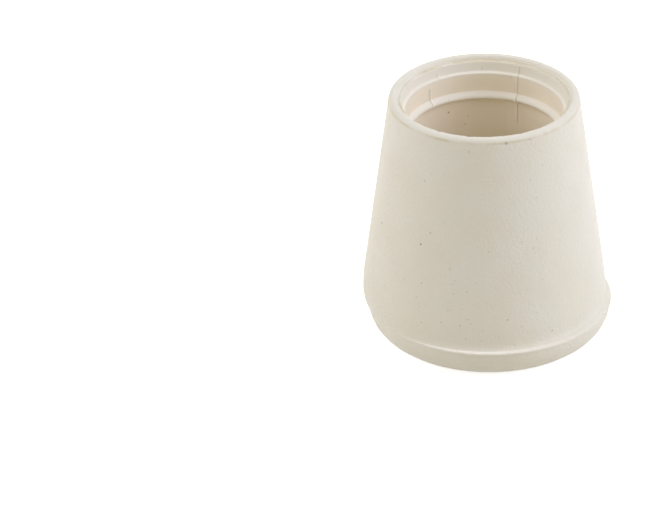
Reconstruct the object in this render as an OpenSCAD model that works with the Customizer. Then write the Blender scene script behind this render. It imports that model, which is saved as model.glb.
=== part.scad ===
// Tapered rubber foot for a tubular leg, moulded in one piece.
// The axis of the socket is Z and the sole stands on the plane z = 0. Sizes are in millimetres.

/* [Socket] */
// Diameter of the plain bore that takes the leg
bore_d = 19.1; // [16:0.1:24]
// Thickness of the sole under the floor of the socket
sole_t = 7.7; // [5:0.1:12]
// Radius of the corner between the bore and the floor of the socket
floor_fillet = 1; // [0.2:0.1:3]
// How far the grip rib stands into the bore
rib_proud = 0.6; // [0.2:0.05:1.2]
// Height of the sloping upper face of the grip rib
rib_slope_h = 0.4; // [0.1:0.05:1.5]
// Height of the straight land of the grip rib
rib_land_h = 0.4; // [0.2:0.05:2]

/* [Mouth] */
// Radius of the lip's inner edge
lip_inner_round = 0.45; // [0.2:0.05:1]
// Radius of the lip's outer edge, which meets the inner one at the top
lip_outer_round = 0.7; // [0.3:0.05:1.5]
// Height of the straight wall inside the lip
lip_wall_h = 0.15; // [0.05:0.05:1]
// Width of the flat ledge at the foot of that wall
ledge_w = 0.4; // [0.1:0.05:1]
// Height of the lead-in wall below the ledge
leadin_h = 1.15; // [0.4:0.05:3]
// How far the lead-in wall narrows on its way down
leadin_taper = 0.2; // [0:0.05:0.8]
// Height of the sloping step between the lead-in wall and the bore
step_h = 0.2; // [0.05:0.05:2]
// Width of that step
step_w = 0.3; // [0.1:0.05:1]
// Height of the bore between the step and the grip rib
collar_h = 2.4; // [0.5:0.05:5]

/* [Outside] */
// Height from the floor to the top of the lip
height = 31.4; // [25:0.1:45]
// Outside diameter at the parting line
base_d = 29.6; // [27:0.1:40]
// Height of the straight band above the parting line
band_h = 2.4; // [0.4:0.1:4]
// Height of the straight skirt below the parting line
skirt_h = 0.5; // [0.2:0.05:1.5]
// Radius of the rounded shoulder between the skirt and the sole
shoulder_r = 3.6; // [2.5:0.1:4.5]

/* [Sole rings] */
// How far the rings stand below the inner edge of the shoulder
tread_proud = 0.3; // [0.2:0.05:1]
// Width of the outer ring
outer_ring_w = 0.95; // [0.6:0.05:1.6]
// Width of the groove inside the outer ring
outer_groove_w = 1.1; // [0.6:0.05:1.6]
// Width of the broad ring
broad_ring_w = 1.5; // [0.8:0.05:2]
// Width of the deep groove inside the broad ring
deep_groove_w = 1.2; // [0.6:0.05:1.6]
// Width of the middle ring
middle_ring_w = 0.9; // [0.6:0.05:1.6]
// Width of the groove inside the middle ring
inner_groove_w = 1; // [0.6:0.05:1.6]
// Width of the inner ring, which frames the round recess
inner_ring_w = 1; // [0.6:0.05:1.6]
// Depth of the plain grooves and of the round recess
groove_depth = 0.8; // [0.3:0.05:1.5]
// Depth of the deep groove
deep_groove_depth = 1.2; // [0.5:0.05:2.5]
// Rounding along the edges of the rings
ring_edge_r = 0.25; // [0.05:0.05:0.3]

/* [Mould] */
// How far the sole half of the mould sat off the axis of the socket
mould_shift = 0.95; // [0:0.05:1.5]
// Direction of that shift about the axis, in degrees from +X
mould_shift_angle = -50; // [-180:5:180]
// How far the flash at the parting line stands proud
flash_proud = 0.12; // [0.05:0.01:0.3]
// Thickness of the flash
flash_t = 0.25; // [0.15:0.05:0.3]

/* [Hidden] */
$fn = 96;

// Radii of the socket, from the rib outwards to the lip
bore_r = bore_d / 2;
rib_r = bore_r - rib_proud;
leadin_r = bore_r + step_w;
mouth_r = leadin_r + leadin_taper;
lip_inner_r = mouth_r + ledge_w;

// Centres of the lip's two roundings, one above the other
lip_axis_r = lip_inner_r + lip_inner_round;
lip_inner_axis_z = height - lip_inner_round;
lip_outer_axis_z = height - lip_outer_round;

// Heights inside the mouth, from the lip down
ledge_z = lip_inner_axis_z - lip_wall_h;
step_top_z = ledge_z - leadin_h;
step_foot_z = step_top_z - step_h;
rib_top_z = step_foot_z - collar_h;
land_top_z = rib_top_z - rib_slope_h;
rib_foot_z = land_top_z - rib_land_h;
floor_z = sole_t;

// Heights outside, from the sole up
base_r = base_d / 2;
shoulder_axis_z = tread_proud + shoulder_r;
parting_z = shoulder_axis_z + skirt_h;
band_z = parting_z + band_h;

// The cone runs from the band to a tangent on the lip
cone_run = base_r - lip_axis_r;
cone_rise = lip_outer_axis_z - band_z;
cone_taper = atan2(cone_run, cone_rise) - asin(lip_outer_round / norm([cone_run, cone_rise]));
cone_top = [
    lip_axis_r + lip_outer_round * cos(cone_taper),
    lip_outer_axis_z + lip_outer_round * sin(cone_taper)
];

// Radii of the rings and grooves, from the shoulder inwards
outer_ring_r = base_r - shoulder_r;
outer_groove_r = outer_ring_r - outer_ring_w;
broad_ring_r = outer_groove_r - outer_groove_w;
deep_groove_r = broad_ring_r - broad_ring_w;
middle_ring_r = deep_groove_r - deep_groove_w;
inner_groove_r = middle_ring_r - middle_ring_w;
inner_ring_r = inner_groove_r - inner_groove_w;
recess_r = inner_ring_r - inner_ring_w;

// Cutters run past the surface by this much
overcut = 0.1;

// Half section of the socket, as a cutter
module socket_section() {
    difference() {
        polygon([
            [0, floor_z],
            [bore_r, floor_z],
            [bore_r, rib_foot_z],
            [rib_r, rib_foot_z],
            [rib_r, land_top_z],
            [bore_r, rib_top_z],
            [bore_r, step_foot_z],
            [leadin_r, step_top_z],
            [mouth_r, ledge_z],
            [lip_inner_r, ledge_z],
            [lip_inner_r, lip_inner_axis_z],
            [0, lip_inner_axis_z]
        ]);
        floor_corner_section();
    }
}

// Rubber that rounds the corner between the bore and the floor
module floor_corner_section() {
    difference() {
        translate([bore_r - floor_fillet, floor_z - overcut])
            square([floor_fillet + overcut, floor_fillet + overcut]);
        translate([bore_r - floor_fillet, floor_z + floor_fillet])
            circle(floor_fillet);
    }
}

// Half section of everything above the parting line, with the socket still solid
module cone_section() {
    polygon([
        [0, parting_z],
        [base_r, parting_z],
        [base_r, band_z],
        cone_top,
        [lip_axis_r, lip_outer_axis_z],
        [lip_axis_r, lip_inner_axis_z],
        [0, lip_inner_axis_z]
    ]);
    lip_section();
}

// Half section of the rounded top of the lip
module lip_section() {
    intersection() {
        translate([lip_axis_r, lip_inner_axis_z])
            circle(lip_inner_round);
        translate([lip_inner_r, lip_inner_axis_z])
            square(lip_inner_round);
    }
    intersection() {
        translate([lip_axis_r, lip_outer_axis_z])
            circle(lip_outer_round);
        translate([lip_axis_r, lip_outer_axis_z])
            square(lip_outer_round);
    }
}

// Half section of everything below the parting line, before its grooves are cut.
// Its core runs up into the cup, which makes the two halves one piece of rubber.
module sole_block_section() {
    square([outer_ring_r, band_z]);
    translate([0, shoulder_axis_z])
        square([base_r, skirt_h]);
    intersection() {
        translate([outer_ring_r, shoulder_axis_z])
            circle(shoulder_r);
        translate([outer_ring_r, 0])
            square([shoulder_r, shoulder_axis_z]);
    }
    polygon([
        [base_r - flash_t, parting_z - flash_t],
        [base_r, parting_z - flash_t],
        [base_r + flash_proud, parting_z - flash_t / 2],
        [base_r + flash_proud, parting_z],
        [base_r - flash_t, parting_z]
    ]);
}

// Cutter for a groove between two radii
module groove_section(inner_r, outer_r, depth) {
    translate([inner_r, -overcut])
        square([outer_r - inner_r, depth + overcut]);
}

// Cutters that round the two edges of a ring
module ring_edge_section(inner_r, outer_r) {
    difference() {
        translate([inner_r - overcut, -overcut])
            square([ring_edge_r + overcut, ring_edge_r + overcut]);
        translate([inner_r + ring_edge_r, ring_edge_r])
            circle(ring_edge_r);
    }
    difference() {
        translate([outer_r - ring_edge_r, -overcut])
            square([ring_edge_r + overcut, ring_edge_r + overcut]);
        translate([outer_r - ring_edge_r, ring_edge_r])
            circle(ring_edge_r);
    }
}

// Half section of the sole, with its rings standing between the grooves
module sole_section() {
    difference() {
        sole_block_section();
        groove_section(0, recess_r, groove_depth);
        groove_section(inner_ring_r, inner_groove_r, groove_depth);
        groove_section(middle_ring_r, deep_groove_r, deep_groove_depth);
        groove_section(broad_ring_r, outer_groove_r, groove_depth);
        ring_edge_section(recess_r, inner_ring_r);
        ring_edge_section(inner_groove_r, middle_ring_r);
        ring_edge_section(deep_groove_r, broad_ring_r);
        ring_edge_section(outer_groove_r, outer_ring_r);
    }
}

// The cup above the parting line, true to the axis of the socket
module cup_half() {
    rotate_extrude()
        difference() {
            cone_section();
            socket_section();
        }
}

// The sole below the parting line, set off the axis as the mould left it
module sole_half() {
    difference() {
        rotate([0, 0, mould_shift_angle])
            translate([mould_shift, 0, 0])
                rotate_extrude()
                    sole_section();
        rotate_extrude()
            socket_section();
    }
}

module rubber_foot() {
    color("linen")
        union() {
            cup_half();
            sole_half();
        }
}

rubber_foot();
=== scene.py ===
"""Dresses the moulded rubber foot: its skin, its rubber, a white studio and the camera.

Sizes are in millimetres until they become mesh coordinates, which are metres.
"""
import logging
import math
from collections.abc import Callable
from dataclasses import dataclass
from enum import Enum

import bmesh
import bpy
from mathutils import Matrix, Vector


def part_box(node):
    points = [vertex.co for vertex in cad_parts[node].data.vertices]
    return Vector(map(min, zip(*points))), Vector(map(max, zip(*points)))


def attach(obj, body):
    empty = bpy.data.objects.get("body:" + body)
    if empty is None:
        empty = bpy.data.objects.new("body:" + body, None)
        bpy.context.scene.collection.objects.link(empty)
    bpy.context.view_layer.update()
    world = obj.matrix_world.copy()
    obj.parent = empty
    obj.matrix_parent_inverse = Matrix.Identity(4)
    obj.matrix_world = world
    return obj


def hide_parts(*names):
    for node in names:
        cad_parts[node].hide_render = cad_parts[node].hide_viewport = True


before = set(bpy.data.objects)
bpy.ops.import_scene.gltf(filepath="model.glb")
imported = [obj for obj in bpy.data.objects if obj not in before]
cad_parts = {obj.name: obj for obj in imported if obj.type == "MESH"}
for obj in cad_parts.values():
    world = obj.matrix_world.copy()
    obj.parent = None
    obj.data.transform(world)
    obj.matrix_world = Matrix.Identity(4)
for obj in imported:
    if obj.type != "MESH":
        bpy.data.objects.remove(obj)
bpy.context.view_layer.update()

log = logging.getLogger("rubber_foot")

NODE = "rubber_foot"
BODY = "root"

MM = 0.001
MERGE_GAP = 0.000002
SMOOTH_ANGLE = 40.0
QUARTER_STEPS = range(15, 91, 15)

# Upward part of a face's normal: 1 on a level face, 0 on an upright wall, -1 on an underside
LEVEL = 0.85
STEEP = 0.6
UNDERSIDE = -0.5

Point = tuple[float, float]
Colour = tuple[float, float, float, float]
Piece = bpy.types.Object
Wire = bpy.types.NodeSocket
Wires = bpy.types.bpy_prop_collection
Feed = Wire | float | tuple | Vector
PointTest = Callable[[Vector], bool]
FaceTest = Callable[[Vector, Vector], bool]


def linear(red: int, green: int, blue: int) -> Colour:
    """Turns an eight-bit screen colour into the linear colour that nodes take.

    Args:
        red: Red from 0 to 255.
        green: Green from 0 to 255.
        blue: Blue from 0 to 255.

    Returns:
        The linear colour with full alpha.
    """
    def channel(value: int) -> float:
        """Undoes the screen curve on one channel."""
        part = value / 255
        return part / 12.92 if part <= 0.04045 else ((part + 0.055) / 1.055) ** 2.4

    return channel(red), channel(green), channel(blue), 1.0


@dataclass(frozen=True)
class Corner:
    """A corner of a half section, with the rounding that the mould left on it.

    Attributes:
        r: Distance from the axis.
        z: Height above the floor.
        fillet: Radius of the rounding, or 0 for a sharp corner.
    """

    r: float
    z: float
    fillet: float = 0.0

    @property
    def place(self) -> Vector:
        """The corner as a flat vector."""
        return Vector((self.r, self.z))


@dataclass(frozen=True)
class SectionDraft:
    """Draws a half section from its corners.

    Attributes:
        turn_step: Widest turn between two points of an arc, in degrees.
        run_step: Longest straight run between two points.
    """

    turn_step: float = 15.0
    run_step: float = 1.0

    def arc(self, before: Corner, corner: Corner, after: Corner) -> list[Vector]:
        """Rounds one corner.

        Args:
            before: The corner that the section comes from.
            corner: The corner to round.
            after: The corner that the section goes to.

        Returns:
            The points of the arc, or the sharp corner itself.
        """
        if corner.fillet == 0.0:
            return [corner.place]
        back = (before.place - corner.place).normalized()
        ahead = (after.place - corner.place).normalized()
        opening = back.angle(ahead)
        turn = math.pi - opening
        start = corner.place + back * (corner.fillet / math.tan(opening / 2))
        bisector = (back + ahead).normalized()
        centre = corner.place + bisector * (corner.fillet / math.sin(opening / 2))
        way = math.copysign(1.0, ahead.cross(back))
        count = max(2, math.ceil(math.degrees(turn) / self.turn_step))
        spoke = start - centre
        return [
            centre + Matrix.Rotation(way * turn * step / count, 2) @ spoke
            for step in range(count + 1)
        ]

    def draw(self, corners: list[Corner]) -> list[Point]:
        """Walks the corners and sets points along the arcs and the straight runs.

        Args:
            corners: The section's corners in order. The first and last stay sharp.

        Returns:
            The section as points of radius and height.
        """
        path = [corners[0].place]
        for before, corner, after in zip(corners, corners[1:], corners[2:]):
            path += self.arc(before, corner, after)
        path.append(corners[-1].place)
        drawn = [path[0]]
        for target in path[1:]:
            start = drawn[-1]
            gap = (target - start).length
            if gap < MERGE_GAP / MM:
                continue
            count = math.ceil(gap / self.run_step)
            drawn += [start.lerp(target, step / count) for step in range(1, count + 1)]
        return [(point.x, point.y) for point in drawn]


@dataclass(frozen=True)
class Seam:
    """A thin line of rubber left where two parts of the mould's core met.

    Attributes:
        column: Number of the mesh column that the line runs along.
        start: Depth below the top of the lip at which the line starts.
        end: Depth at which the line ends.
        proud: How far the line stands out.
    """

    column: int
    start: float
    end: float
    proud: float


@dataclass(frozen=True)
class Nick:
    """A small tear in the inner edge of the lip.

    Attributes:
        azimuth: Direction from the axis, in degrees from +X.
        half_width: Half the angle that the tear covers, in degrees.
        depth: How far the edge is torn down.
    """

    azimuth: float
    half_width: float
    depth: float


class Region(Enum):
    """The surfaces of the foot that look different. Apart from the outside, their colours carry painted
    light and painted highlights.
    """

    OUTSIDE = 0
    # Socket: a lighter cream than the outside, which is painted light, turning tan further down as a
    # painted warm cast of bounced light
    SOCKET = 1
    # Ledge tops and seams: a whiter cream that paints their highlights
    RUBBED = 2
    # Grip rib: the socket's lighter cream without its tan, a painted highlight on the rib's bead
    RIB = 3


@dataclass
class MouldedFoot:
    """The foot itself: a tapered cup on a ringed sole, moulded off centre in one piece."""

    height: float
    base_r: float
    shift: Vector

    # Socket
    bore_r: float = 9.55
    floor_z: float = 7.7
    floor_fillet: float = 1.0
    rib_proud: float = 0.6
    rib_slope_h: float = 0.4
    rib_land_h: float = 0.4
    rib_margin: float = 0.1

    # Mouth
    lip_inner_round: float = 0.45
    lip_outer_round: float = 0.7
    lip_wall_h: float = 0.15
    ledge_w: float = 0.4
    leadin_h: float = 1.15
    leadin_taper: float = 0.2
    step_h: float = 0.2
    step_w: float = 0.3
    collar_h: float = 2.4

    # Outside
    parting_z: float = 4.4
    band_h: float = 2.4
    shoulder_r: float = 3.6
    flash_proud: float = 0.12
    flash_t: float = 0.25

    # Sole, where a tread is the width of a ring and the width and depth of the groove inside it
    tread_proud: float = 0.3
    treads: tuple[tuple[float, float, float], ...] = (
        (0.95, 1.1, 0.8),
        (1.5, 1.2, 1.2),
        (0.9, 1.0, 0.8),
    )
    inner_ring_w: float = 1.0
    recess_depth: float = 0.8
    ring_edge_r: float = 0.25

    # Soft corners
    groove_corner_r: float = 0.15
    mould_corner_r: float = 0.12
    rib_foot_round: float = 0.12
    rib_top_round: float = 0.5
    band_blend_r: float = 12.0

    # Ledge between the halves of the mould, with the shares of the shift that its curves take
    ledge_fillet: float = 0.9
    ledge_fillet_share: float = 0.5
    ledge_edge: float = 0.2
    ledge_edge_share: float = 0.3

    # Marks that the mould and wear left
    columns: int = 256
    seams: tuple[Seam, ...] = (
        Seam(column=45, start=0.6, end=8.4, proud=0.08),
        Seam(column=93, start=2.4, end=5.1, proud=0.08),
        Seam(column=87, start=1.1, end=1.9, proud=0.05),
    )
    nicks: tuple[Nick, ...] = (
        Nick(azimuth=-122.3, half_width=1.0, depth=0.12),
        Nick(azimuth=-101.1, half_width=1.6, depth=0.1),
        Nick(azimuth=-67.5, half_width=1.2, depth=0.1),
    )
    lip_grain: float = 0.035
    lip_seed: int = 7
    flash_grain: float = 0.02
    flash_seed: int = 11

    @classmethod
    def from_frame(cls, low: Vector, high: Vector) -> "MouldedFoot":
        """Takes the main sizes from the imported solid's box.

        Args:
            low: Lowest corner of the box, in metres.
            high: Highest corner of the box, in metres.

        Returns:
            A foot whose cup, sole and mould shift match the solid.
        """
        base_r = -low.x / MM
        reach = base_r + cls.flash_proud
        shift = Vector((high.x / MM - reach, low.y / MM + reach))
        return cls(height=high.z / MM, base_r=base_r, shift=shift)

    @property
    def lip_inner_r(self) -> float:
        """Radius of the wall inside the lip."""
        return self.bore_r + self.step_w + self.leadin_taper + self.ledge_w

    @property
    def lip_axis_r(self) -> float:
        """Radius of the top of the lip."""
        return self.lip_inner_r + self.lip_inner_round

    @property
    def tread_r(self) -> float:
        """Radius in the middle of the sole's outer ring, which the foot stands on."""
        return self.base_r - self.shoulder_r - self.treads[0][0] / 2

    @property
    def mouth_ledge_z(self) -> float:
        """Height of the flat ledge inside the lip."""
        return self.height - self.lip_inner_round - self.lip_wall_h

    @property
    def rib_foot_z(self) -> float:
        """Height of the underside of the grip rib."""
        rib_top_z = self.mouth_ledge_z - self.leadin_h - self.step_h - self.collar_h
        return rib_top_z - self.rib_slope_h - self.rib_land_h

    def wall_r(self, z: float) -> float:
        """Gives the radius of the outside at a height.

        Args:
            z: The height.

        Returns:
            The radius of the band, the cone or the lip there.
        """
        band_z = self.parting_z + self.band_h
        rim_r = self.lip_axis_r + self.lip_outer_round
        rim_z = self.height - self.lip_outer_round
        if z > rim_z:
            return self.lip_axis_r + math.sqrt(self.lip_outer_round ** 2 - (z - rim_z) ** 2)
        share = min((rim_z - z) / (rim_z - band_z), 1.0)
        return rim_r + (self.base_r - rim_r) * share

    def cup_corners(self) -> list[Corner]:
        """Sets out the cup's half section, from the middle of the floor to the foot of the wall.

        Returns:
            The corners, up the socket, over the lip and down the cone.
        """
        soft = self.mould_corner_r
        rib_r = self.bore_r - self.rib_proud
        leadin_r = self.bore_r + self.step_w
        mouth_r = leadin_r + self.leadin_taper
        ledge_z = self.mouth_ledge_z
        step_top_z = ledge_z - self.leadin_h
        step_foot_z = step_top_z - self.step_h
        rib_top_z = step_foot_z - self.collar_h
        land_top_z = rib_top_z - self.rib_slope_h
        rib_foot_z = self.rib_foot_z
        band_z = self.parting_z + self.band_h
        run = self.base_r - self.lip_axis_r
        rise = self.height - self.lip_outer_round - band_z
        taper = math.atan2(run, rise) - math.asin(self.lip_outer_round / math.hypot(run, rise))
        crown_r = self.base_r - (self.height - band_z) * math.tan(taper)
        return [
            Corner(0.0, self.floor_z),
            Corner(self.bore_r, self.floor_z, self.floor_fillet),
            Corner(self.bore_r, rib_foot_z, soft),
            Corner(rib_r, rib_foot_z, self.rib_foot_round),
            Corner(rib_r, land_top_z, self.rib_top_round),
            Corner(self.bore_r, rib_top_z, soft),
            Corner(self.bore_r, step_foot_z, self.rib_foot_round),
            Corner(leadin_r, step_top_z, soft),
            Corner(mouth_r, ledge_z, soft),
            Corner(self.lip_inner_r, ledge_z, soft),
            Corner(self.lip_inner_r, self.height, self.lip_inner_round),
            Corner(crown_r, self.height, self.lip_outer_round),
            Corner(self.base_r, band_z, self.band_blend_r),
            Corner(self.base_r, self.parting_z + self.ledge_fillet),
        ]

    def sole_corners(self) -> list[Corner]:
        """Sets out the sole's half section, from the flash to the middle of the recess.

        Returns:
            The corners, round the shoulder and across the rings.
        """
        flash_r = self.base_r + self.flash_proud
        soft = self.flash_proud / 2
        outer_ring_r = self.base_r - self.shoulder_r
        corners = [
            Corner(flash_r, self.parting_z - self.ledge_edge),
            Corner(flash_r, self.parting_z - self.flash_t, soft),
            Corner(self.base_r, self.parting_z - self.flash_t - self.flash_proud, soft),
            Corner(self.base_r, self.tread_proud, self.shoulder_r),
            Corner(outer_ring_r, self.tread_proud),
        ]
        ring_r = outer_ring_r
        for ring_w, groove_w, depth in self.treads:
            groove_r = ring_r - ring_w
            corners += self.ring_corners(ring_r, groove_r)
            ring_r = groove_r - groove_w
            corners += self.groove_corners(groove_r, ring_r, depth)
        recess_r = ring_r - self.inner_ring_w
        corners += self.ring_corners(ring_r, recess_r)
        corners.append(Corner(recess_r, self.recess_depth, self.groove_corner_r))
        corners.append(Corner(0.0, self.recess_depth))
        return corners

    def ring_corners(self, outer_r: float, inner_r: float) -> list[Corner]:
        """Gives the two rounded edges that a ring of the sole stands on."""
        return [Corner(outer_r, 0.0, self.ring_edge_r), Corner(inner_r, 0.0, self.ring_edge_r)]

    def groove_corners(self, outer_r: float, inner_r: float, depth: float) -> list[Corner]:
        """Gives the two corners at the bottom of a groove of the sole."""
        soft = self.groove_corner_r
        return [Corner(outer_r, depth, soft), Corner(inner_r, depth, soft)]

    def ledge_steps(self) -> list[Point]:
        """Sets out the ledge between the two halves of the mould.

        Returns:
            Points of the share of the mould shift and the height over the parting line,
            from the cup's wall to the sole's edge.
        """
        fillet_share = self.ledge_fillet_share
        edge_share = self.ledge_edge_share
        turns = [math.radians(angle) for angle in QUARTER_STEPS]
        inner = [
            (fillet_share * (1 - math.cos(turn)), self.ledge_fillet * (1 - math.sin(turn)))
            for turn in turns
        ]
        outer = [
            (1 - edge_share * (1 - math.sin(turn)), -self.ledge_edge * (1 - math.cos(turn)))
            for turn in turns
        ]
        return inner + [(1 - edge_share, 0.0)] + outer

    def build(self) -> Piece:
        """Models the foot's skin.

        Returns:
            The closed mesh, with its place in its vertices.
        """
        draft = SectionDraft()
        foot = spin_section("moulded_foot", draft.draw(self.cup_corners()), Vector((0, 0)), self.columns)
        self.run_ledge(foot)
        sole = spin_section("sole_half", draft.draw(self.sole_corners()), self.shift, self.columns)
        join_pieces(foot, sole)
        self.raise_seams(foot)
        self.tear_lip(foot)
        self.ruffle_flash(foot)
        finish_shading(foot)
        return foot

    def run_ledge(self, foot: Piece) -> None:
        """Extrudes the cup's foot across the ledge until it meets the sole's edge.

        Args:
            foot: The cup, which becomes the whole foot.
        """
        wall_z = (self.parting_z + self.ledge_fillet) * MM
        with Editing(foot):
            select_vertices(foot, lambda place: abs(place.z - wall_z) < MERGE_GAP)
            share, lift = 0.0, self.ledge_fillet
            for next_share, next_lift in self.ledge_steps():
                move = (self.shift * (next_share - share)).to_3d() + Vector((0, 0, next_lift - lift))
                growth = self.ledge_r(next_share) / self.ledge_r(share)
                bpy.ops.mesh.extrude_region_move(TRANSFORM_OT_translate={"value": move * MM})
                bpy.ops.transform.resize(
                    value=(growth, growth, 1.0),
                    center_override=(self.shift * next_share * MM).to_3d(),
                )
                share, lift = next_share, next_lift

    def ledge_r(self, share: float) -> float:
        """Gives the ledge's radius at a share of the way from the cup to the sole."""
        return self.base_r + share * self.flash_proud

    def seam_test(self, seam: Seam) -> FaceTest:
        """Makes the test that finds a seam's faces.

        Args:
            seam: The seam.

        Returns:
            A test of a face's centre and normal.
        """
        reach = (self.lip_inner_r - self.ledge_w / 2) * MM
        low = (self.height - seam.end) * MM
        high = (self.height - seam.start) * MM
        step = math.tau / self.columns
        middle = (seam.column + 0.5) * step
        slack = step / 4

        def on_seam(place: Vector, normal: Vector) -> bool:
            """Tells whether a face lies on the seam."""
            off = abs(math.atan2(place.y, place.x) % math.tau - middle)
            return low < place.z < high and place.xy.length < reach and off < slack

        return on_seam

    def raise_seams(self, foot: Piece) -> None:
        """Raises a thin strip of the socket's wall along each seam.

        Args:
            foot: The joined skin.
        """
        for seam in self.seams:
            with Editing(foot):
                select_faces(foot, self.seam_test(seam))
                bpy.ops.mesh.extrude_region_shrink_fatten(
                    TRANSFORM_OT_shrink_fatten={"value": seam.proud * MM}
                )

    def on_lip(self, place: Vector) -> bool:
        """Tells whether a point is on the front of the lip."""
        return place.z > (self.height - self.lip_inner_round) * MM and place.y < 0

    def nick_test(self, nick: Nick) -> PointTest:
        """Makes the test that finds a nick's points.

        Args:
            nick: The nick.

        Returns:
            A test of a point's place.
        """
        def in_nick(place: Vector) -> bool:
            """Tells whether a point is on the torn stretch of the lip's inner edge."""
            off = abs(math.degrees(math.atan2(place.y, place.x)) - nick.azimuth)
            return self.on_lip(place) and place.xy.length < self.lip_axis_r * MM and off < nick.half_width

        return in_nick

    def tear_lip(self, foot: Piece) -> None:
        """Roughens the front of the lip and tears its inner edge at each nick.

        Args:
            foot: The joined skin.
        """
        with Editing(foot):
            select_vertices(foot, self.on_lip)
            bpy.ops.transform.vertex_random(offset=self.lip_grain * MM, seed=self.lip_seed)
            for nick in self.nicks:
                select_vertices(foot, self.nick_test(nick))
                bpy.ops.transform.translate(value=(0, 0, -nick.depth * MM))

    def on_flash(self, place: Vector) -> bool:
        """Tells whether a point is on the outer edge of the flash."""
        outer = (place.xy - self.shift * MM).length > self.base_r * MM
        return outer and (self.parting_z - self.flash_t) * MM < place.z < self.parting_z * MM + MERGE_GAP

    def ruffle_flash(self, foot: Piece) -> None:
        """Makes the edge of the flash slightly uneven.

        Args:
            foot: The joined skin.
        """
        with Editing(foot):
            select_vertices(foot, self.on_flash)
            bpy.ops.transform.vertex_random(offset=self.flash_grain * MM, seed=self.flash_seed)

    def in_socket(self, place: Vector, normal: Vector) -> bool:
        """Tells whether a face belongs to the socket, up to the ledge inside the lip."""
        within = place.xy.length < self.lip_axis_r * MM and place.z > self.floor_z * MM - MERGE_GAP
        return within and (place.z < (self.mouth_ledge_z - self.mould_corner_r) * MM or normal.z < STEEP)

    def on_rib(self, place: Vector, normal: Vector) -> bool:
        """Tells whether a face belongs to the grip rib, but not to its underside."""
        within = place.xy.length < (self.bore_r - self.rib_margin) * MM
        above = place.z > (self.rib_foot_z - self.rib_margin) * MM
        return within and above and normal.z > UNDERSIDE

    def on_ledge(self, place: Vector, normal: Vector) -> bool:
        """Tells whether a face belongs to the ledge between the two halves of the mould."""
        near = abs(place.z - self.parting_z * MM) < self.ledge_edge * MM
        return near and normal.z > LEVEL and place.xy.length > self.bore_r * MM

    def region_tests(self) -> list[tuple[Region, FaceTest]]:
        """Lists the tests that find the faces of each region but the outside.

        Returns:
            Pairs of a region and a test of a face's centre and normal, later ones on top.
        """
        tests = [
            (Region.SOCKET, self.in_socket),
            (Region.RIB, self.on_rib),
            # The socket gets painted light, the rib, the ledge's upward faces and the seams get painted
            # highlights
            (Region.RUBBED, self.on_ledge),
        ]
        return tests + [(Region.RUBBED, self.seam_test(seam)) for seam in self.seams]

    def dress(self, foot: Piece, finishes: dict[Region, "RubberFinish"]) -> None:
        """Gives each region its finish.

        Args:
            foot: The finished skin.
            finishes: The finish of each region.
        """
        for region in Region:
            foot.data.materials.append(finishes[region].material())

        with Editing(foot):
            for region, test in self.region_tests():
                select_faces(foot, test)
                foot.active_material_index = region.value
                bpy.ops.object.material_slot_assign()


def pick(*pieces: Piece) -> None:
    """Selects some pieces and nothing else, and makes the first one active.

    Args:
        pieces: The pieces.
    """
    bpy.ops.object.select_all(action="DESELECT")
    for piece in pieces:
        piece.select_set(True)
    bpy.context.view_layer.objects.active = pieces[0]


class Editing:
    """Keeps one piece in edit mode, with nothing else selected, while a block runs."""

    def __init__(self, piece: Piece) -> None:
        """Remembers the piece."""
        self.piece = piece

    def __enter__(self) -> Piece:
        """Opens the piece with all its vertices deselected.

        Returns:
            The piece.
        """
        pick(self.piece)
        bpy.ops.object.mode_set(mode="EDIT")
        bpy.ops.mesh.select_mode(type="VERT")
        bpy.ops.mesh.select_all(action="DESELECT")
        return self.piece

    def __exit__(self, *problem: object) -> None:
        """Closes the piece again."""
        bpy.ops.object.mode_set(mode="OBJECT")


def select_vertices(piece: Piece, wanted: PointTest) -> None:
    """Selects the vertices of a piece in edit mode by their place.

    Args:
        piece: The piece that is being edited.
        wanted: Says whether a vertex at a place is selected.
    """
    bpy.ops.mesh.select_mode(type="VERT")
    mesh = bmesh.from_edit_mesh(piece.data)
    for vertex in mesh.verts:
        vertex.select = wanted(vertex.co)
    mesh.select_flush_mode()
    bmesh.update_edit_mesh(piece.data)


def select_faces(piece: Piece, wanted: FaceTest) -> None:
    """Selects the faces of a piece in edit mode by their place and normal.

    Args:
        piece: The piece that is being edited.
        wanted: Says whether a face with a centre and a normal is selected.
    """
    bpy.ops.mesh.select_all(action="DESELECT")
    bpy.ops.mesh.select_mode(type="FACE")
    mesh = bmesh.from_edit_mesh(piece.data)
    for face in mesh.faces:
        face.select = wanted(face.calc_center_median(), face.normal)
    mesh.select_flush_mode()
    bmesh.update_edit_mesh(piece.data)


def spin_section(name: str, section: list[Point], axis: Vector, columns: int) -> Piece:
    """Draws a half section as a line of edges and spins it round an upright axis.

    Args:
        name: Name of the new piece.
        section: The half section, as points of radius and height.
        axis: Where the axis stands on the floor.
        columns: Number of steps round the axis.

    Returns:
        The spun piece, with its doubles merged.
    """
    places = [Vector((axis.x + r, axis.y, z)) * MM for r, z in section]
    bpy.ops.object.select_all(action="DESELECT")
    bpy.ops.mesh.primitive_plane_add(size=MM, location=places[0])
    piece = bpy.context.object
    piece.name = name
    piece.data.name = name
    bpy.ops.object.transform_apply(location=True, rotation=True, scale=True)
    bpy.ops.object.mode_set(mode="EDIT")
    bpy.ops.mesh.select_mode(type="VERT")
    bpy.ops.mesh.select_all(action="SELECT")
    bpy.ops.mesh.merge(type="CENTER")
    for start, target in zip(places, places[1:]):
        bpy.ops.mesh.extrude_vertices_move(TRANSFORM_OT_translate={"value": target - start})
    bpy.ops.mesh.select_all(action="SELECT")
    bpy.ops.mesh.spin(steps=columns, angle=math.tau, center=(axis * MM).to_3d(), axis=(0, 0, 1))
    bpy.ops.mesh.select_all(action="SELECT")
    bpy.ops.mesh.remove_doubles(threshold=MERGE_GAP)
    bpy.ops.object.mode_set(mode="OBJECT")
    return piece


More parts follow.
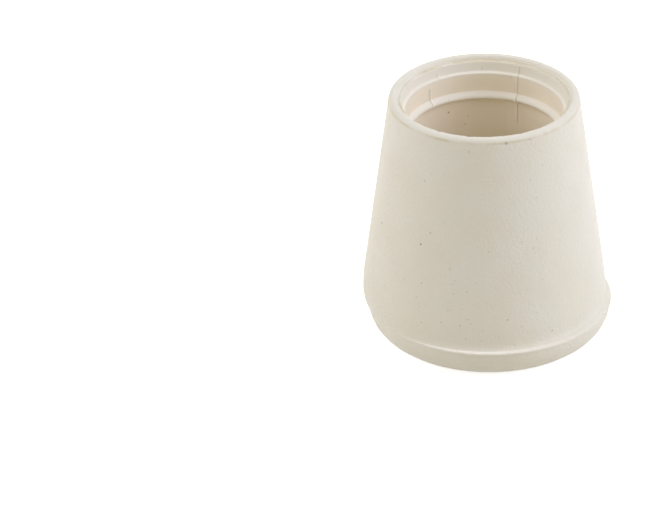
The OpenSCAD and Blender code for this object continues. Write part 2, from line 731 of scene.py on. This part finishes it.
def join_pieces(piece: Piece, other: Piece) -> None:
    """Joins another piece to a piece, closes the seam between them and turns all faces outwards.

    Args:
        piece: The piece that stays.
        other: The piece that becomes part of it.
    """
    pick(piece, other)
    bpy.ops.object.join()
    with Editing(piece):
        bpy.ops.mesh.select_all(action="SELECT")
        bpy.ops.mesh.remove_doubles(threshold=MERGE_GAP)
        bpy.ops.mesh.normals_make_consistent(inside=False)


def finish_shading(piece: Piece) -> None:
    """Shades a piece smooth, apart from its sharp corners."""
    pick(piece)
    bpy.ops.object.shade_smooth_by_angle(angle=math.radians(SMOOTH_ANGLE))


class Step(Enum):
    """The sums that the materials' Math nodes do."""

    ADD = "ADD"
    SUBTRACT = "SUBTRACT"
    MULTIPLY = "MULTIPLY"
    MAXIMUM = "MAXIMUM"
    LESS_THAN = "LESS_THAN"
    ABSOLUTE = "ABSOLUTE"


class Socket(Enum):
    """The kinds of socket that the node groups have."""

    VALUE = "NodeSocketFloat"
    VECTOR = "NodeSocketVector"
    COLOUR = "NodeSocketColor"


class NodeSheet:
    """A node tree that is being filled in."""

    def __init__(self, tree: bpy.types.NodeTree) -> None:
        """Remembers the tree."""
        self.tree = tree

    def place(self, kind: str, **settings: object) -> bpy.types.Node:
        """Adds a node.

        Args:
            kind: Blender's name for the node.
            settings: Properties to set on it.

        Returns:
            The new node.
        """
        node = self.tree.nodes.new(kind)
        for name, value in settings.items():
            setattr(node, name, value)
        return node

    def feed(self, socket: Wire, value: Feed) -> None:
        """Links a socket to another one, or sets its plain value.

        Args:
            socket: The socket that is fed.
            value: The socket that feeds it, or the value.
        """
        if isinstance(value, Wire):
            self.tree.links.new(value, socket)
        else:
            socket.default_value = value

    def wire(self, node: bpy.types.Node, feeds: dict[str | int, Feed]) -> Wires:
        """Feeds several inputs of a node.

        Args:
            node: The node.
            feeds: Sockets or plain values, by the input's name or number.

        Returns:
            The node's outputs.
        """
        for name, value in feeds.items():
            self.feed(node.inputs[name], value)
        return node.outputs

    def add(self, kind: str, feeds: dict[str | int, Feed], **settings: object) -> Wires:
        """Adds a node and feeds its inputs.

        Args:
            kind: Blender's name for the node.
            feeds: Sockets or plain values, by the input's name or number.
            settings: Properties to set on it.

        Returns:
            The node's outputs.
        """
        return self.wire(self.place(kind, **settings), feeds)

    def sum(self, step: Step, *values: Feed) -> Wire:
        """Adds a Math node.

        Args:
            step: The sum that it does.
            values: Sockets or numbers for its inputs, in order.

        Returns:
            The socket with the result.
        """
        return self.add("ShaderNodeMath", dict(enumerate(values)), operation=step.value)[0]

    def remap(self, value: Feed, source: tuple[Feed, Feed], target: Point, **settings: object) -> Wire:
        """Stretches one range of values over another.

        Args:
            value: The value that is read.
            source: The ends of the range that it comes from.
            target: The ends of the range that it goes to.
            settings: Properties to set on the node.

        Returns:
            The socket with the result.
        """
        feeds = {
            "Value": value,
            "From Min": source[0],
            "From Max": source[1],
            "To Min": target[0],
            "To Max": target[1],
        }
        return self.add("ShaderNodeMapRange", feeds, **settings)["Result"]

    def fade(self, value: Feed, start: Feed, end: Feed) -> Wire:
        """Fades smoothly from 1 at one value to 0 at another.

        Args:
            value: The value that is read.
            start: Where the result is still 1.
            end: Where the result has come down to 0.

        Returns:
            The socket with the result.
        """
        return self.remap(value, (start, end), (1.0, 0.0), interpolation_type="SMOOTHSTEP")

    def blend(self, share: Feed, first: Feed, second: Feed) -> Wire:
        """Mixes two colours.

        Args:
            share: How much of the second colour shows.
            first: The colour underneath.
            second: The colour on top.

        Returns:
            The socket with the mixed colour.
        """
        return self.add("ShaderNodeMix", {0: share, 6: first, 7: second}, data_type="RGBA")[2]

    def noise(self, place: Feed, scale: Feed, detail: float) -> Wire:
        """Adds a cloud pattern.

        Args:
            place: The coordinates that it follows.
            scale: Number of clouds in a unit.
            detail: Number of finer layers.

        Returns:
            The socket with the pattern, from 0 to 1.
        """
        return self.add("ShaderNodeTexNoise", {"Vector": place, "Scale": scale, "Detail": detail})["Fac"]

    def height(self, place: Feed) -> Wire:
        """Reads the height out of coordinates."""
        return self.add("ShaderNodeSeparateXYZ", {0: place})["Z"]

    def background_rays(self) -> Wire:
        """Marks the rays that show the background: straight ones, reflections and those through glass.

        Returns:
            The socket with 1 for such a ray and 0 for the others.
        """
        rays = self.place("ShaderNodeLightPath").outputs
        seen = self.sum(Step.MAXIMUM, rays["Is Camera Ray"], rays["Is Glossy Ray"])
        return self.sum(Step.MAXIMUM, seen, rays["Is Transmission Ray"])


class RubberGroup:
    """A shared effect on rubber, as a node group that is built once."""

    name = ""
    takes: dict[str, Socket] = {}
    gives: dict[str, Socket] = {}

    @classmethod
    def tree(cls) -> bpy.types.NodeTree:
        """Finds the group's node tree, or builds it at the first call.

        Returns:
            The node tree.
        """
        known = bpy.data.node_groups.get(cls.name)
        if known:
            return known
        tree = bpy.data.node_groups.new(cls.name, "ShaderNodeTree")
        for name, kind in cls.takes.items():
            tree.interface.new_socket(name=name, in_out="INPUT", socket_type=kind.value)
        for name, kind in cls.gives.items():
            tree.interface.new_socket(name=name, in_out="OUTPUT", socket_type=kind.value)
        sheet = NodeSheet(tree)
        inputs = sheet.place("NodeGroupInput").outputs
        results = cls.fill(sheet, inputs)
        outputs = sheet.place("NodeGroupOutput").inputs
        for name, result in results.items():
            sheet.feed(outputs[name], result)
        return tree

    @classmethod
    def fill(cls, sheet: NodeSheet, inputs: Wires) -> dict[str, Feed]:
        """Fills the group in. Each effect has its own way.

        Args:
            sheet: The group's node tree.
            inputs: The group's inputs.

        Returns:
            The group's results by name.
        """
        raise NotImplementedError

    @classmethod
    def use(cls, sheet: NodeSheet, **values: Feed) -> Wires:
        """Places the group in a material.

        Args:
            sheet: The material's node tree.
            values: Sockets or plain values for the group's inputs.

        Returns:
            The group's outputs.
        """
        node = sheet.place("ShaderNodeGroup", node_tree=cls.tree())
        return sheet.wire(node, {name.replace("_", " "): value for name, value in values.items()})


class Mottle(RubberGroup):
    """Cloudy variation in the colour of the rubber."""

    name = "rubber_mottle"
    takes = {
        "place": Socket.VECTOR,
        "colour": Socket.COLOUR,
        "warm colour": Socket.COLOUR,
        "clouds per mm": Socket.VALUE,
        "amount": Socket.VALUE,
    }
    gives = {"colour": Socket.COLOUR}
    detail = 3.0
    patch_range = (0.7, 0.3)

    @classmethod
    def fill(cls, sheet: NodeSheet, inputs: Wires) -> dict[str, Feed]:
        """Mixes the two colours by broad clouds with fine ones in them.

        Args:
            sheet: The group's node tree.
            inputs: The group's inputs.

        Returns:
            The group's results by name.
        """
        feeds = {0: inputs["place"], "Scale": inputs["clouds per mm"]}
        scaled = sheet.add("ShaderNodeVectorMath", feeds, operation="SCALE")[0]
        patch = sheet.fade(sheet.noise(scaled, 1.0, cls.detail), *cls.patch_range)
        share = sheet.sum(Step.MULTIPLY, patch, inputs["amount"])
        return {"colour": sheet.blend(share, inputs["colour"], inputs["warm colour"])}


class DepthTint(RubberGroup):
    """A second colour that takes over below a height. In the socket it is a painted warm cast of light
    bounced deep in the recess.
    """

    name = "rubber_depth_tint"
    takes = {
        "place": Socket.VECTOR,
        "colour": Socket.COLOUR,
        "deep colour": Socket.COLOUR,
        "start": Socket.VALUE,
        "end": Socket.VALUE,
    }
    gives = {"colour": Socket.COLOUR}

    @classmethod
    def fill(cls, sheet: NodeSheet, inputs: Wires) -> dict[str, Feed]:
        """Fades from the first colour at the start to the deep one at the end.

        Args:
            sheet: The group's node tree.
            inputs: The group's inputs.

        Returns:
            The group's results by name.
        """
        share = sheet.fade(sheet.height(inputs["place"]), inputs["end"], inputs["start"])
        return {"colour": sheet.blend(share, inputs["colour"], inputs["deep colour"])}


class SpeckField(RubberGroup):
    """Fine dark specks of dirt that lie all over."""

    name = "rubber_speck_field"
    takes = {
        "place": Socket.VECTOR,
        "cells per mm": Socket.VALUE,
        "share": Socket.VALUE,
        "radius": Socket.VALUE,
    }
    gives = {"mask": Socket.VALUE}

    @classmethod
    def fill(cls, sheet: NodeSheet, inputs: Wires) -> dict[str, Feed]:
        """Puts a speck in the middle of a share of the cells.

        Args:
            sheet: The group's node tree.
            inputs: The group's inputs.

        Returns:
            The group's results by name.
        """
        feeds = {"Vector": inputs["place"], "Scale": inputs["cells per mm"]}
        cells = sheet.add("ShaderNodeTexVoronoi", feeds)
        draw = sheet.add("ShaderNodeSeparateColor", {0: cells["Color"]})
        chosen = sheet.sum(Step.LESS_THAN, draw[0], inputs["share"])
        size = sheet.sum(Step.MULTIPLY, inputs["radius"], draw[1])
        strength = sheet.sum(Step.MULTIPLY, sheet.fade(cells["Distance"], 0.0, size), draw[2])
        return {"mask": sheet.sum(Step.MULTIPLY, strength, chosen)}


class SpeckMark(RubberGroup):
    """One speck at a known place."""

    name = "rubber_speck_mark"
    takes = {
        "place": Socket.VECTOR,
        "centre": Socket.VECTOR,
        "radius": Socket.VALUE,
        "strength": Socket.VALUE,
    }
    gives = {"mask": Socket.VALUE}
    ragged_cells = 9.0
    ragged_detail = 2.0
    least_size = 0.5

    @classmethod
    def fill(cls, sheet: NodeSheet, inputs: Wires) -> dict[str, Feed]:
        """Fades out from the centre to a ragged edge.

        Args:
            sheet: The group's node tree.
            inputs: The group's inputs.

        Returns:
            The group's results by name.
        """
        feeds = {0: inputs["place"], 1: inputs["centre"]}
        gap = sheet.add("ShaderNodeVectorMath", feeds, operation="DISTANCE")["Value"]
        ragged = sheet.noise(inputs["place"], cls.ragged_cells, cls.ragged_detail)
        reach = sheet.sum(Step.ADD, ragged, cls.least_size)
        spot = sheet.fade(gap, 0.0, sheet.sum(Step.MULTIPLY, inputs["radius"], reach))
        return {"mask": sheet.sum(Step.MULTIPLY, spot, inputs["strength"])}


class StainRing(RubberGroup):
    """A broken ring of yellowing at one height."""

    name = "rubber_stain_ring"
    takes = {
        "place": Socket.VECTOR,
        "height": Socket.VALUE,
        "spread": Socket.VALUE,
        "strength": Socket.VALUE,
    }
    gives = {"mask": Socket.VALUE}
    patch_cells = 0.35
    patch_detail = 3.0
    patch_range = (0.65, 0.35)

    @classmethod
    def fill(cls, sheet: NodeSheet, inputs: Wires) -> dict[str, Feed]:
        """Fades out above and below the height, in patches.

        Args:
            sheet: The group's node tree.
            inputs: The group's inputs.

        Returns:
            The group's results by name.
        """
        gap = sheet.sum(Step.SUBTRACT, sheet.height(inputs["place"]), inputs["height"])
        ring = sheet.fade(sheet.sum(Step.ABSOLUTE, gap), 0.0, inputs["spread"])
        cloud = sheet.noise(inputs["place"], cls.patch_cells, cls.patch_detail)
        mask = sheet.sum(Step.MULTIPLY, ring, sheet.fade(cloud, *cls.patch_range))
        return {"mask": sheet.sum(Step.MULTIPLY, mask, inputs["strength"])}


class PeelGrain(RubberGroup):
    """The fine leathery grain that the mould left."""

    name = "rubber_peel_grain"
    takes = {"place": Socket.VECTOR, "cells per mm": Socket.VALUE}
    gives = {"height": Socket.VALUE, "gloss": Socket.VALUE}
    detail = 4.0
    cell_share = 0.6
    gloss_cells = 0.5

    @classmethod
    def fill(cls, sheet: NodeSheet, inputs: Wires) -> dict[str, Feed]:
        """Adds rounded cells to finer noise, and lets the gloss follow broad noise.

        Args:
            sheet: The group's node tree.
            inputs: The group's inputs.

        Returns:
            The group's results by name.
        """
        feeds = {"Vector": inputs["place"], "Scale": inputs["cells per mm"]}
        cells = sheet.add("ShaderNodeTexVoronoi", feeds, feature="SMOOTH_F1")
        fine = sheet.noise(inputs["place"], inputs["cells per mm"], cls.detail)
        rounded = sheet.sum(Step.MULTIPLY, cells["Distance"], cls.cell_share)
        gloss = sheet.noise(inputs["place"], cls.gloss_cells, cls.detail)
        return {"height": sheet.sum(Step.SUBTRACT, fine, rounded), "gloss": gloss}


@dataclass(frozen=True)
class Speck:
    """A speck that can be seen on the foot.

    Attributes:
        azimuth: Direction from the axis, in degrees from +X.
        z: Height above the floor.
        radius: Radius of the speck.
        strength: How dark it is, from 0 to 1.
    """

    azimuth: float
    z: float
    radius: float = 0.16
    strength: float = 0.7


@dataclass(frozen=True)
class RubberFinish:
    """A finish of the cream rubber.

    Attributes:
        name: Name of the material.
        colour: Colour of the rubber under its clouds, stains and specks.
        warm_colour: Colour of its cloudy patches.
        roughness: Lowest and highest roughness.
        grain_cells: Grain cells in a millimetre.
        grain_depth: Depth of the grain, in millimetres.
        stains: Height, spread and strength of each ring of yellowing.
        specks: The specks, with the wall's radius at each.
        deep_colour: Colour that takes over with depth, if there is one.
        deep_range: Height where that colour starts and height where it is full.
        mottle: How much of the patches shows.
        clouds_per_mm: Cloudy patches in a millimetre.
        dust_cells: Cells in a millimetre that can hold a fine speck.
        dust_share: Share of those cells that hold one.
        dust_radius: Largest radius of a fine speck, in cells.
        dust_strength: How dark the fine specks are, from 0 to 1.
        stain_colour: Colour of the yellowing.
        speck_colour: Colour of the specks.
        gloss_range: Values of the grain's gloss where the roughness is lowest and highest.
        ior: Index of refraction.
        specular: Strength of the mirror-like part of the reflection.
    """

    name: str
    colour: Colour
    warm_colour: Colour
    roughness: Point
    grain_cells: float = 1.4
    grain_depth: float = 0.008
    stains: tuple[tuple[float, float, float], ...] = ()
    specks: tuple[tuple[Speck, float], ...] = ()
    deep_colour: Colour | None = None
    deep_range: Point = (0.0, 0.0)
    mottle: float = 0.6
    clouds_per_mm: float = 0.16
    dust_cells: float = 1.2
    dust_share: float = 0.3
    dust_radius: float = 0.2
    dust_strength: float = 0.6
    stain_colour: Colour = linear(205, 186, 140)
    speck_colour: Colour = linear(122, 102, 74)
    gloss_range: Point = (0.3, 0.7)
    ior: float = 1.5
    specular: float = 0.35

    def material(self) -> bpy.types.Material:
        """Builds the material.

        Returns:
            The material, which reads only the piece's own coordinates.
        """
        material = bpy.data.materials.new(self.name)
        material.use_nodes = True
        sheet = NodeSheet(material.node_tree)
        place = self.millimetres(sheet)
        grain = PeelGrain.use(sheet, place=place, cells_per_mm=self.grain_cells)
        depth = self.grain_depth * MM
        bump = {"Strength": 1.0, "Distance": depth, "Height": grain["height"]}
        feeds = {
            "Base Color": self.coloured(sheet, place),
            "Roughness": sheet.remap(grain["gloss"], self.gloss_range, self.roughness),
            "Normal": sheet.add("ShaderNodeBump", bump)["Normal"],
            "IOR": self.ior,
            "Specular IOR Level": self.specular,
        }
        sheet.wire(material.node_tree.nodes["Principled BSDF"], feeds)
        return material

    def millimetres(self, sheet: NodeSheet) -> Wire:
        """Scales the piece's own coordinates to millimetres."""
        feeds = {"Vector": sheet.place("ShaderNodeTexCoord").outputs["Object"], "Scale": (1 / MM,) * 3}
        return sheet.add("ShaderNodeMapping", feeds)["Vector"]

    def coloured(self, sheet: NodeSheet, place: Wire) -> Wire:
        """Layers clouds, depth, yellowing and specks into one colour.

        Args:
            sheet: The material's node tree.
            place: The piece's coordinates in millimetres.

        Returns:
            The socket with the colour.
        """
        colour = Mottle.use(
            sheet,
            place=place,
            colour=self.colour,
            warm_colour=self.warm_colour,
            clouds_per_mm=self.clouds_per_mm,
            amount=self.mottle,
        )["colour"]
        if self.deep_colour:
            colour = DepthTint.use(
                sheet,
                place=place,
                colour=colour,
                deep_colour=self.deep_colour,
                start=self.deep_range[0],
                end=self.deep_range[1],
            )["colour"]
        for height, spread, strength in self.stains:
            ring = StainRing.use(sheet, place=place, height=height, spread=spread, strength=strength)
            colour = sheet.blend(ring["mask"], colour, self.stain_colour)
        return sheet.blend(self.dirt(sheet, place), colour, self.speck_colour)

    def dirt(self, sheet: NodeSheet, place: Wire) -> Wire:
        """Gathers the fine specks and the known ones into one mask.

        Args:
            sheet: The material's node tree.
            place: The piece's coordinates in millimetres.

        Returns:
            The socket with the mask.
        """
        dust = SpeckField.use(
            sheet,
            place=place,
            cells_per_mm=self.dust_cells,
            share=self.dust_share,
            radius=self.dust_radius,
        )["mask"]
        dirt = sheet.sum(Step.MULTIPLY, dust, self.dust_strength)
        for speck, wall_r in self.specks:
            turn = math.radians(speck.azimuth)
            mark = SpeckMark.use(
                sheet,
                place=place,
                centre=Vector((math.cos(turn) * wall_r, math.sin(turn) * wall_r, speck.z)),
                radius=speck.radius,
                strength=speck.strength,
            )
            dirt = sheet.sum(Step.MAXIMUM, dirt, mark["mask"])
        return dirt


def rubber_finishes(foot: MouldedFoot) -> dict[Region, RubberFinish]:
    """Sets out the finishes of the foot.

    Args:
        foot: The foot that wears them.

    Returns:
        The finish of each region.
    """
    outside_specks = (
        Speck(-126.1, 17.0, 0.2, 0.95),
        Speck(-120.9, 18.8, 0.15, 0.6),
        Speck(-109.1, 14.7, 0.13, 0.5),
        Speck(-126.8, 25.1, 0.15, 0.5),
        Speck(-153.9, 19.8, 0.14, 0.6),
        Speck(-158.2, 16.8, 0.24, 0.6),
        Speck(-100.5, 29.8, 0.13, 0.45),
        Speck(-63.8, 30.8, 0.15, 0.6),
        Speck(-58.0, 5.8, 0.17, 0.7),
        Speck(-80.6, 8.4, 0.15, 0.65),
        Speck(-124.0, 12.1, 0.14, 0.55),
        Speck(-122.5, 7.1, 0.14, 0.6),
        Speck(-65.5, 17.0, 0.13, 0.4),
        Speck(-19.1, 19.4, 0.14, 0.4),
        Speck(-78.6, 30.8, 0.3, 0.5),
        Speck(149.0, 31.2, 0.2, 0.7),
        Speck(24.1, 31.2, 0.18, 0.6),
        Speck(-107.7, 12.8, 0.16, 0.31),
        Speck(-95.7, 13.2, 0.15, 0.24),
        Speck(-100.1, 12.0, 0.2, 0.27),
        Speck(-109.2, 9.4, 0.16, 0.36),
        Speck(-99.4, 8.5, 0.15, 0.36),
        Speck(-97.7, 8.0, 0.13, 0.31),
        Speck(-112.3, 7.7, 0.18, 0.31),
        Speck(-103.0, 7.6, 0.22, 0.27),
        Speck(-92.5, 7.1, 0.15, 0.27),
        Speck(-92.9, 5.8, 0.15, 0.31),
        Speck(-100.1, 5.9, 0.15, 0.31),
        Speck(-84.8, 6.1, 0.15, 0.27),
        Speck(-73.9, 7.3, 0.15, 0.27),
        Speck(-69.8, 11.9, 0.14, 0.27),
        Speck(-126.4, 10.1, 0.16, 0.27),
        Speck(-65.3, 8.7, 0.15, 0.27),
        Speck(-61.5, 12.8, 0.16, 0.27),
        Speck(-52.9, 10.2, 0.15, 0.24),
        Speck(-163.9, 7.3, 0.16, 0.31),
    )
    socket_specks = (
        Speck(115.4, 24.6, 0.2, 0.9),
        Speck(102.2, 22.6, 0.15, 0.6),
        Speck(100.3, 23.7, 0.13, 0.5),
    )
    cream = linear(232, 227, 213)
    warm = linear(230, 222, 204)
    # Painted light: the socket's cream is lighter than the outside's, and its tan further down is a
    # painted warm cast of light bounced in the recess
    painted_light_cream = linear(239, 233, 219)
    tan = linear(243, 232, 211)
    # Whiter cream that paints the highlights on the ledge's upward faces and on the seams
    painted_highlight_cream = linear(248, 242, 229)
    polish = (0.34, 0.42)
    return {
        Region.OUTSIDE: RubberFinish(
            name="rubber_outside",
            colour=cream,
            warm_colour=warm,
            roughness=(0.42, 0.56),
            grain_cells=2.6,
            grain_depth=0.055,
            stains=((foot.height - 0.55, 0.28, 0.5),),
            specks=tuple((speck, foot.wall_r(speck.z)) for speck in outside_specks),
        ),
        # Painted light in the socket: lighter cream than the outside, fading to tan deeper down as
        # painted warm bounced light
        Region.SOCKET: RubberFinish(
            name="rubber_socket",
            colour=painted_light_cream,
            warm_colour=painted_light_cream,
            roughness=(0.4, 0.5),
            specks=tuple((speck, foot.bore_r) for speck in socket_specks),
            deep_colour=tan,
            deep_range=(foot.height - 1.7, foot.height - 2.6),
        ),
        # Painted highlights on the ledge and the seams
        Region.RUBBED: RubberFinish("rubber_painted_highlight", painted_highlight_cream, painted_light_cream, polish),
        # Painted highlight on the rib: the lighter cream without the socket's tan further down
        Region.RIB: RubberFinish("rubber_rib_highlight", painted_light_cream, painted_light_cream, polish),
    }


@dataclass(frozen=True)
class Softbox:
    """A broad soft lamp.

    Attributes:
        name: Name of the lamp.
        azimuth: Direction from the foot, in degrees from +X.
        elevation: Height over the floor, in degrees.
        level: Light that it puts on a surface that faces it.
        tint: Colour of the light.
        distance: Distance from the foot, in metres.
        size: Width of the lamp, in metres.
    """

    name: str
    azimuth: float
    elevation: float
    level: float
    tint: tuple[float, float, float]
    distance: float = 0.6
    size: float = 0.5

    def hang(self, target: Vector) -> Piece:
        """Hangs the lamp so that it faces a point.

        Args:
            target: The point, in metres.

        Returns:
            The lamp.
        """
        turn = math.radians(self.azimuth)
        tilt = math.radians(self.elevation)
        way = Vector((math.cos(turn) * math.cos(tilt), math.sin(turn) * math.cos(tilt), math.sin(tilt)))
        data = bpy.data.lights.new(self.name, "AREA")
        data.shape = "SQUARE"
        data.size = self.size
        data.color = self.tint
        data.energy = self.level * math.pi ** 2 * self.distance ** 2
        lamp = bpy.data.objects.new(self.name, data)
        bpy.context.scene.collection.objects.link(lamp)
        lamp.location = target + way * self.distance
        lamp.rotation_euler = (-way).to_track_quat("-Z", "Y").to_euler()
        return lamp


@dataclass
class Studio:
    """A white floor under soft light from both sides, the back and above.

    Attributes:
        opening: Middle of the floor's opening under the sole.
        opening_r: Radius of that opening, which lets light reach the sole's grooves.
        floor_r: Radius of the floor, in metres.
        floor_sides: Number of sides of the opening and of the floor.
        floor_colour: Colour of the floor.
        floor_glow: How much the floor shows white to the camera.
        sky_level: Strength of the light from all round.
        sky_colour: Colour of that light.
        lamps: The lamps.
    """

    opening: Vector
    opening_r: float
    floor_r: float = 2.0
    floor_sides: int = 96
    floor_colour: Colour = (0.76, 0.74, 0.67, 1.0)
    floor_glow: float = 0.8
    sky_level: float = 0.325
    sky_colour: Colour = (1.0, 0.93, 0.66, 1.0)
    lamps: tuple[Softbox, ...] = (
        Softbox("right_softbox", -13.5, 34.0, 0.68, (0.93, 0.98, 1.22)),
        Softbox("left_softbox", -175.0, 36.0, 0.525, (0.97, 1.0, 1.17)),
        Softbox("back_softbox", 90.0, 65.0, 0.15, (0.92, 1.0, 1.22)),
    )

    def build(self, target: Vector) -> Piece:
        """Lays the floor, hangs the lamps and sets the sky.

        Args:
            target: The point that the lamps face, in metres.

        Returns:
            The floor.
        """
        bpy.context.scene.view_settings.view_transform = "Standard"
        for lamp in self.lamps:
            lamp.hang(target)
        self.set_sky()
        return self.lay_floor()

    def set_sky(self) -> None:
        """Surrounds the scene with even light that shows as white."""
        world = bpy.data.worlds.new("studio")
        world.use_nodes = True
        bpy.context.scene.world = world
        sheet = NodeSheet(world.node_tree)
        seen = sheet.background_rays()
        feeds = {
            "Color": sheet.blend(seen, self.sky_colour, (1.0, 1.0, 1.0, 1.0)),
            "Strength": sheet.remap(seen, (0.0, 1.0), (self.sky_level, 1.0)),
        }
        sheet.wire(world.node_tree.nodes["Background"], feeds)

    def lay_floor(self) -> Piece:
        """Lays a floor with an opening under the sole.

        Returns:
            The floor.
        """
        centre = (self.opening * MM).to_3d()
        inner_r = self.opening_r * MM
        growth = self.floor_r / inner_r
        bpy.ops.object.select_all(action="DESELECT")
        bpy.ops.mesh.primitive_circle_add(vertices=self.floor_sides, radius=inner_r, location=centre)
        floor = bpy.context.object
        floor.name = "studio_floor"
        bpy.ops.object.transform_apply(location=True, rotation=True, scale=True)
        with Editing(floor):
            bpy.ops.mesh.select_all(action="SELECT")
            bpy.ops.mesh.extrude_region_move()
            bpy.ops.transform.resize(value=(growth, growth, 1.0), center_override=centre)
            select_faces(floor, lambda place, normal: normal.z < 0)
            bpy.ops.mesh.flip_normals()
        floor.data.materials.append(self.floor_material())
        return floor

    def floor_material(self) -> bpy.types.Material:
        """Builds a material that shows white from above, keeps the shadow and is clear from below.

        Returns:
            The material.
        """
        material = bpy.data.materials.new("studio_floor")
        material.use_nodes = True
        nodes = material.node_tree.nodes
        nodes.remove(nodes["Principled BSDF"])
        sheet = NodeSheet(material.node_tree)
        matt = sheet.add("ShaderNodeBsdfDiffuse", {"Color": self.floor_colour})[0]
        strength = sheet.sum(Step.MULTIPLY, sheet.background_rays(), self.floor_glow)
        glow = sheet.add("ShaderNodeEmission", {"Strength": strength})[0]
        lit = sheet.add("ShaderNodeAddShader", {0: matt, 1: glow})[0]
        clear = sheet.place("ShaderNodeBsdfTransparent").outputs[0]
        below = sheet.place("ShaderNodeNewGeometry").outputs["Backfacing"]
        sides = sheet.add("ShaderNodeMixShader", {0: below, 1: lit, 2: clear})[0]
        sheet.wire(nodes["Material Output"], {"Surface": sides})
        return material


@dataclass(frozen=True)
class PhotoCamera:
    """The camera, set where the photograph was taken from.

    Attributes:
        elevation: How far the camera looks down, in degrees.
        distance: Distance to the target along the line of sight.
        focal_px: Focal length in pixels.
        image: Width and height of the image in pixels.
        target_z: Height of the target on the foot's axis.
        target_px: Where the target appears in the image.
        roll: How far the camera leans about its line of sight, in degrees.
        sensor: Width of the sensor.
        clip: Nearest and farthest distance that it sees, in metres.
    """

    elevation: float = 28.96
    distance: float = 752.0
    focal_px: float = 6174.0
    image: Point = (650.0, 514.0)
    target_z: float = 14.1
    target_px: Point = (484.11, 221.2)
    roll: float = 0.77
    sensor: float = 36.0
    clip: Point = (0.01, 10.0)

    def build(self) -> Piece:
        """Places the camera and makes it the scene's camera.

        Returns:
            The camera.
        """
        tilt = math.radians(self.elevation)
        lean = math.radians(self.roll)
        ahead = Vector((0.0, math.cos(tilt), -math.sin(tilt)))
        level = Vector((1.0, 0.0, 0.0))
        upright = Vector((0.0, math.sin(tilt), math.cos(tilt)))
        right = level * math.cos(lean) - upright * math.sin(lean)
        up = level * math.sin(lean) + upright * math.cos(lean)
        scale = self.distance / self.focal_px
        across = (self.target_px[0] - self.image[0] / 2) * scale
        above = (self.image[1] / 2 - self.target_px[1]) * scale
        target = Vector((0.0, 0.0, self.target_z))
        data = bpy.data.cameras.new("photo_camera")
        data.sensor_fit = "HORIZONTAL"
        data.sensor_width = self.sensor
        data.lens = self.focal_px * self.sensor / self.image[0]
        data.clip_start, data.clip_end = self.clip
        camera = bpy.data.objects.new("photo_camera", data)
        bpy.context.scene.collection.objects.link(camera)
        camera.location = (target - right * across - up * above - ahead * self.distance) * MM
        camera.rotation_euler = Matrix((right, up, -ahead)).transposed().to_euler()
        bpy.context.scene.camera = camera
        return camera


def main() -> None:
    """Builds the foot, the studio and the camera, and reports each piece."""
    logging.basicConfig(level=logging.INFO, format="%(message)s")
    maker = MouldedFoot.from_frame(*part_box(NODE))
    foot = maker.build()
    maker.dress(foot, rubber_finishes(maker))
    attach(foot, BODY)
    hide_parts(NODE)
    log.info("%s: %d faces", foot.name, len(foot.data.polygons))
    studio = Studio(opening=maker.shift, opening_r=maker.tread_r)
    floor = studio.build(Vector((0.0, 0.0, maker.height / 2)) * MM)
    log.info("%s: laid", floor.name)
    camera = PhotoCamera().build()
    log.info("%s: %.1f mm lens", camera.name, camera.data.lens)


if __name__ == "__main__":
    main()
